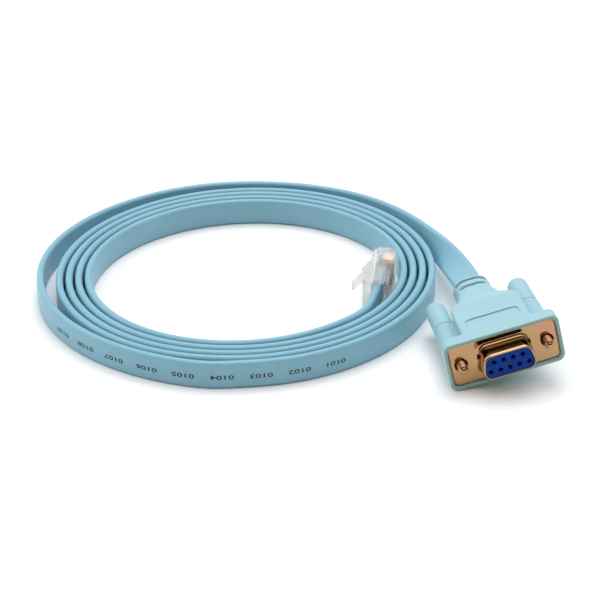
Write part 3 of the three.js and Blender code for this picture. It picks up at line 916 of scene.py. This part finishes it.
plug = {
    "thickness": 6.6, "length": 22, "width": 11.68, "edge": 0.3,
    "heel": 1.1, "heelLength": 8.2, "noseStep": 1.2, "noseDrop": 0.9,
    "mouth": (3.5, 9.3), "mouthDepth": 12.4, "channelEnd": 1.4,
    "window": (5, 7.2), "windowDepth": 1.2, "windowStart": 3.7,
    "pitch": 1.02, "slotHalf": 0.27, "bladeSetback": 1.9, "bladeLength": 4.6, "bladeFoot": -0.75,
    "bladeTop": 2.85, "wireLine": -1.29, "wireRadius": 0.42,
    "latchRoot": 2.2, "latchLength": 13.4, "latchLift": 4.6, "latchThickness": 0.62,
    "latchWide": 6.0, "latchNarrow": 3.2, "latchCatch": 6.6,
}


def plugDistance(x, y, z):
    half, nose, face = plug["width"] / 2, plug["length"] / 2, plug["thickness"] / 2
    edge = plug["edge"]
    core = between(roundedSlab(x, y, face, nose, edge), z, -half, half, edge)
    step = np.maximum(nose - plug["noseStep"] - y, x + face - plug["noseDrop"])
    shape = carve(core, step, 0.25)
    heelMiddle = (-face - plug["heel"]) / 2
    heel = between(roundedSlab(x - heelMiddle, y + nose - plug["heelLength"] / 2, -heelMiddle,
                               plug["heelLength"] / 2, edge), z, -half, half, edge)
    shape = merge(shape, heel, 0.3)
    root = nose - plug["latchRoot"]
    down = (root - y) / plug["latchLength"]
    line = -face - plug["latchLift"] * down - plug["latchThickness"] / 2
    lean = math.hypot(1, plug["latchLift"] / plug["latchLength"])
    latchHalf = np.where(root - y < plug["latchCatch"], plug["latchWide"], plug["latchNarrow"]) / 2
    arm = between(roundedSlab((x - line) / lean, z, plug["latchThickness"] / 2, latchHalf, 0.25),
                  y, root - plug["latchLength"], root + 1.0, 0.25)
    shape = merge(shape, arm, 0.4)
    mouth = between(roundedSlab(x, z, plug["mouth"][0] / 2, plug["mouth"][1] / 2, 0.4),
                    y, -nose - 2, -nose + plug["mouthDepth"], 0.3)
    shape = carve(shape, mouth, 0.3)
    low, high = plug["wireLine"] - plug["wireRadius"] - 0.3, plug["bladeFoot"] + 0.12
    channel = between(roundedSlab(x - (low + high) / 2, z, (high - low) / 2, plug["pitch"] * 4 + 0.15, 0.2),
                      y, -nose + plug["mouthDepth"] - 1, nose - plug["channelEnd"], 0.2)
    shape = np.maximum(shape, -channel)
    windowMiddle = -nose + plug["windowStart"] + plug["window"][0] / 2
    window = between(roundedSlab(y - windowMiddle, z, plug["window"][0] / 2, plug["window"][1] / 2, 0.4),
                     x, face - plug["windowDepth"], face + 2, 0.2)
    shape = carve(shape, window, 0.25)
    near = z / plug["pitch"] - 0.5
    beside = (near - np.round(near)) * plug["pitch"]
    rowEnd = np.abs(z) - plug["pitch"] * 4
    slot = np.maximum(np.maximum(np.abs(beside) - plug["slotHalf"], rowEnd),
                      np.maximum(plug["bladeFoot"] - 0.1 - x, np.maximum(
                          y - nose + plug["bladeSetback"] - 0.12,
                          nose - plug["bladeSetback"] - plug["bladeLength"] - 0.12 - y)))
    return np.maximum(shape, -slot)


plugAxes = (
    spaced((-9.3, -4.6, 0.25), (-4.6, 3.6, 0.2)),
    spaced((-11.4, 3.8, 0.25), (3.8, 11.4, 0.2)),
    spaced((-6.12, 6.12, 0.17)),
)
plugPiece = skinned("modular_plug", plugDistance, plugAxes, "plug", "clear", "plug_body")


def makeBlades():
    nose = plug["length"] / 2
    front, back = nose - plug["bladeSetback"], nose - plug["bladeSetback"] - plug["bladeLength"]
    top, foot = plug["bladeTop"], plug["bladeFoot"]
    outline = [(foot + 1.2, back), (top - 0.35, back), (top - 0.1, back + 0.1), (top, back + 0.35),
               (top, front - 0.5), (top - 0.15, front - 0.15), (top - 0.5, front), (foot + 1.2, front),
               (foot, front - 0.5), (foot + 0.9, front - 1.2), (foot + 0.9, back + 1.2), (foot, back + 0.5)]
    half = 0.18
    count = len(outline)
    points = [(x, y, -half) for x, y in outline] + [(x, y, half) for x, y in outline]
    faces = [tuple(range(count))[::-1], tuple(range(count, 2 * count))]
    for index in range(count):
        after = (index + 1) % count
        faces.append((index, after, after + count, index + count))
    if sum(x0 * y1 - x1 * y0 for (x0, y0), (x1, y1) in zip(outline, outline[1:] + outline[:1])) < 0:
        faces = [face[::-1] for face in faces]
    nodes = [f"plug_contact_{index + 1}" for index in range(8)]
    piece = makeRow("plug_blades", seated(points, "plug"), faces, "contact", 8,
                    (0, 0, plug["pitch"] * mm), nodes)
    piece.data.shade_flat()
    return piece


bladesPiece = makeBlades()

wireColours = [
    ("wireBlack", (0.02, 0.02, 0.022)), ("wireWhite", (0.75, 0.73, 0.68)), ("wireRed", (0.45, 0.03, 0.02)),
    ("wireYellow", (0.65, 0.43, 0.03)), ("wireGreen", (0.04, 0.19, 0.06)), ("wireBlue", (0.03, 0.11, 0.38)),
    ("wireBrown", (0.19, 0.07, 0.025)), ("wireGrey", (0.20, 0.22, 0.24)),
]


def makeWires():
    nose = plug["length"] / 2
    radius = plug["wireRadius"]
    start, end = -nose + plug["mouthDepth"] - 0.6, nose - plug["channelEnd"] - 0.3
    points, faces = revolved([(radius - 0.08, start), (radius, start + 0.08), (radius, end - 0.08),
                              (radius - 0.08, end)], 16)
    pieces = []
    for index, (name, colour) in enumerate(wireColours):
        aside = [plug["wireLine"], 0, (index - 3.5) * plug["pitch"]]
        placed = seated(points + aside, "plug")
        wire = makePiece(f"wire_{index + 1}", placed, faces, wireFinish(name, colour))
        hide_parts(f"plug_wire_{index + 1}")
        pieces.append(wire)
    return pieces


wirePieces = makeWires()
print("plug made")

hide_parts("cable_coil", "cable_lead", "cable_tail")
exitPoint = seated([(*cable["exit"][:2], cable["exit"][2] + cable["width"] / 2)], "coil")[0]
tuple(exitPoint)
[tuple(point) for point in seated(cableRoute[:, :3], "coil")]


# Floor and light

studio = {
    "floorSize": 5.0,
    "floorShade": 0.93,
    "top": {"place": (0.10, 0.42, 1.15), "size": 0.85, "power": 4.4},
    "left": {"place": (-1.1, 0.1, 0.6), "size": 0.8, "power": 2.6},
    "sky": 0.57,
    "glow": 2.0,
    "skyColour": (0.98, 0.985, 1.0, 1),
    "frontColour": (1.0, 0.86, 0.62, 1),
}


def makeFloor():
    half = studio["floorSize"] / 2
    corners = [(-half, -half, 0), (half, -half, 0), (half, half, 0), (-half, half, 0)]
    mesh = bpy.data.meshes.new("floor")
    mesh.from_pydata(corners, [], [(0, 1, 2, 3)])
    material, nodes, _ = newFinish("floorWhite")
    shade = studio["floorShade"]
    close(nodes, {"Base Color": (shade, shade, shade, 1), "Roughness": 0.85, "Specular IOR Level": 0.2})
    mesh.materials.append(material)
    floor = bpy.data.objects.new("floor", mesh)
    bpy.context.scene.collection.objects.link(floor)


def makeLight(name, values):
    data = bpy.data.lights.new(name, "AREA")
    data.shape = "DISK"
    data.size = values["size"]
    data.energy = values["power"]
    light = bpy.data.objects.new(name, data)
    light.location = values["place"]
    aim = -np.array(values["place"])
    light.rotation_euler = (math.atan2(math.hypot(aim[0], aim[1]), -aim[2]), 0, math.atan2(-aim[0], aim[1]))
    bpy.context.scene.collection.objects.link(light)


def makeSky():
    world = bpy.data.worlds.new("studio")
    world.use_nodes = True
    nodes = Nodes(world.node_tree)
    direction = nodes.add("ShaderNodeTexCoord", None, None, "Generated")
    split = nodes.add("ShaderNodeSeparateXYZ", None, {0: direction})
    outputs = split.socket.node.outputs
    across, up = Value(nodes, outputs["Y"]), Value(nodes, outputs["Z"])
    front = nodes.ramp(across * -1.0, 0.15, 0.75)
    low = 1.0 - nodes.ramp(up, 0.52, 0.92)
    strength = studio["sky"] * (1.25 - 1.21 * front * low + studio["glow"] * nodes.ramp(up, 0.6, 1.0))
    colour = nodes.mix(front * low, studio["skyColour"], studio["frontColour"])
    shader = nodes.add("ShaderNodeBackground", None, {"Color": colour, "Strength": strength})
    nodes.add("ShaderNodeOutputWorld", None, {0: shader})
    bpy.context.scene.world = world


makeFloor()
makeLight("topSoftbox", studio["top"])
makeLight("leftSoftbox", studio["left"])
makeSky()
bpy.context.scene.view_settings.view_transform = "Standard"
print("studio made")
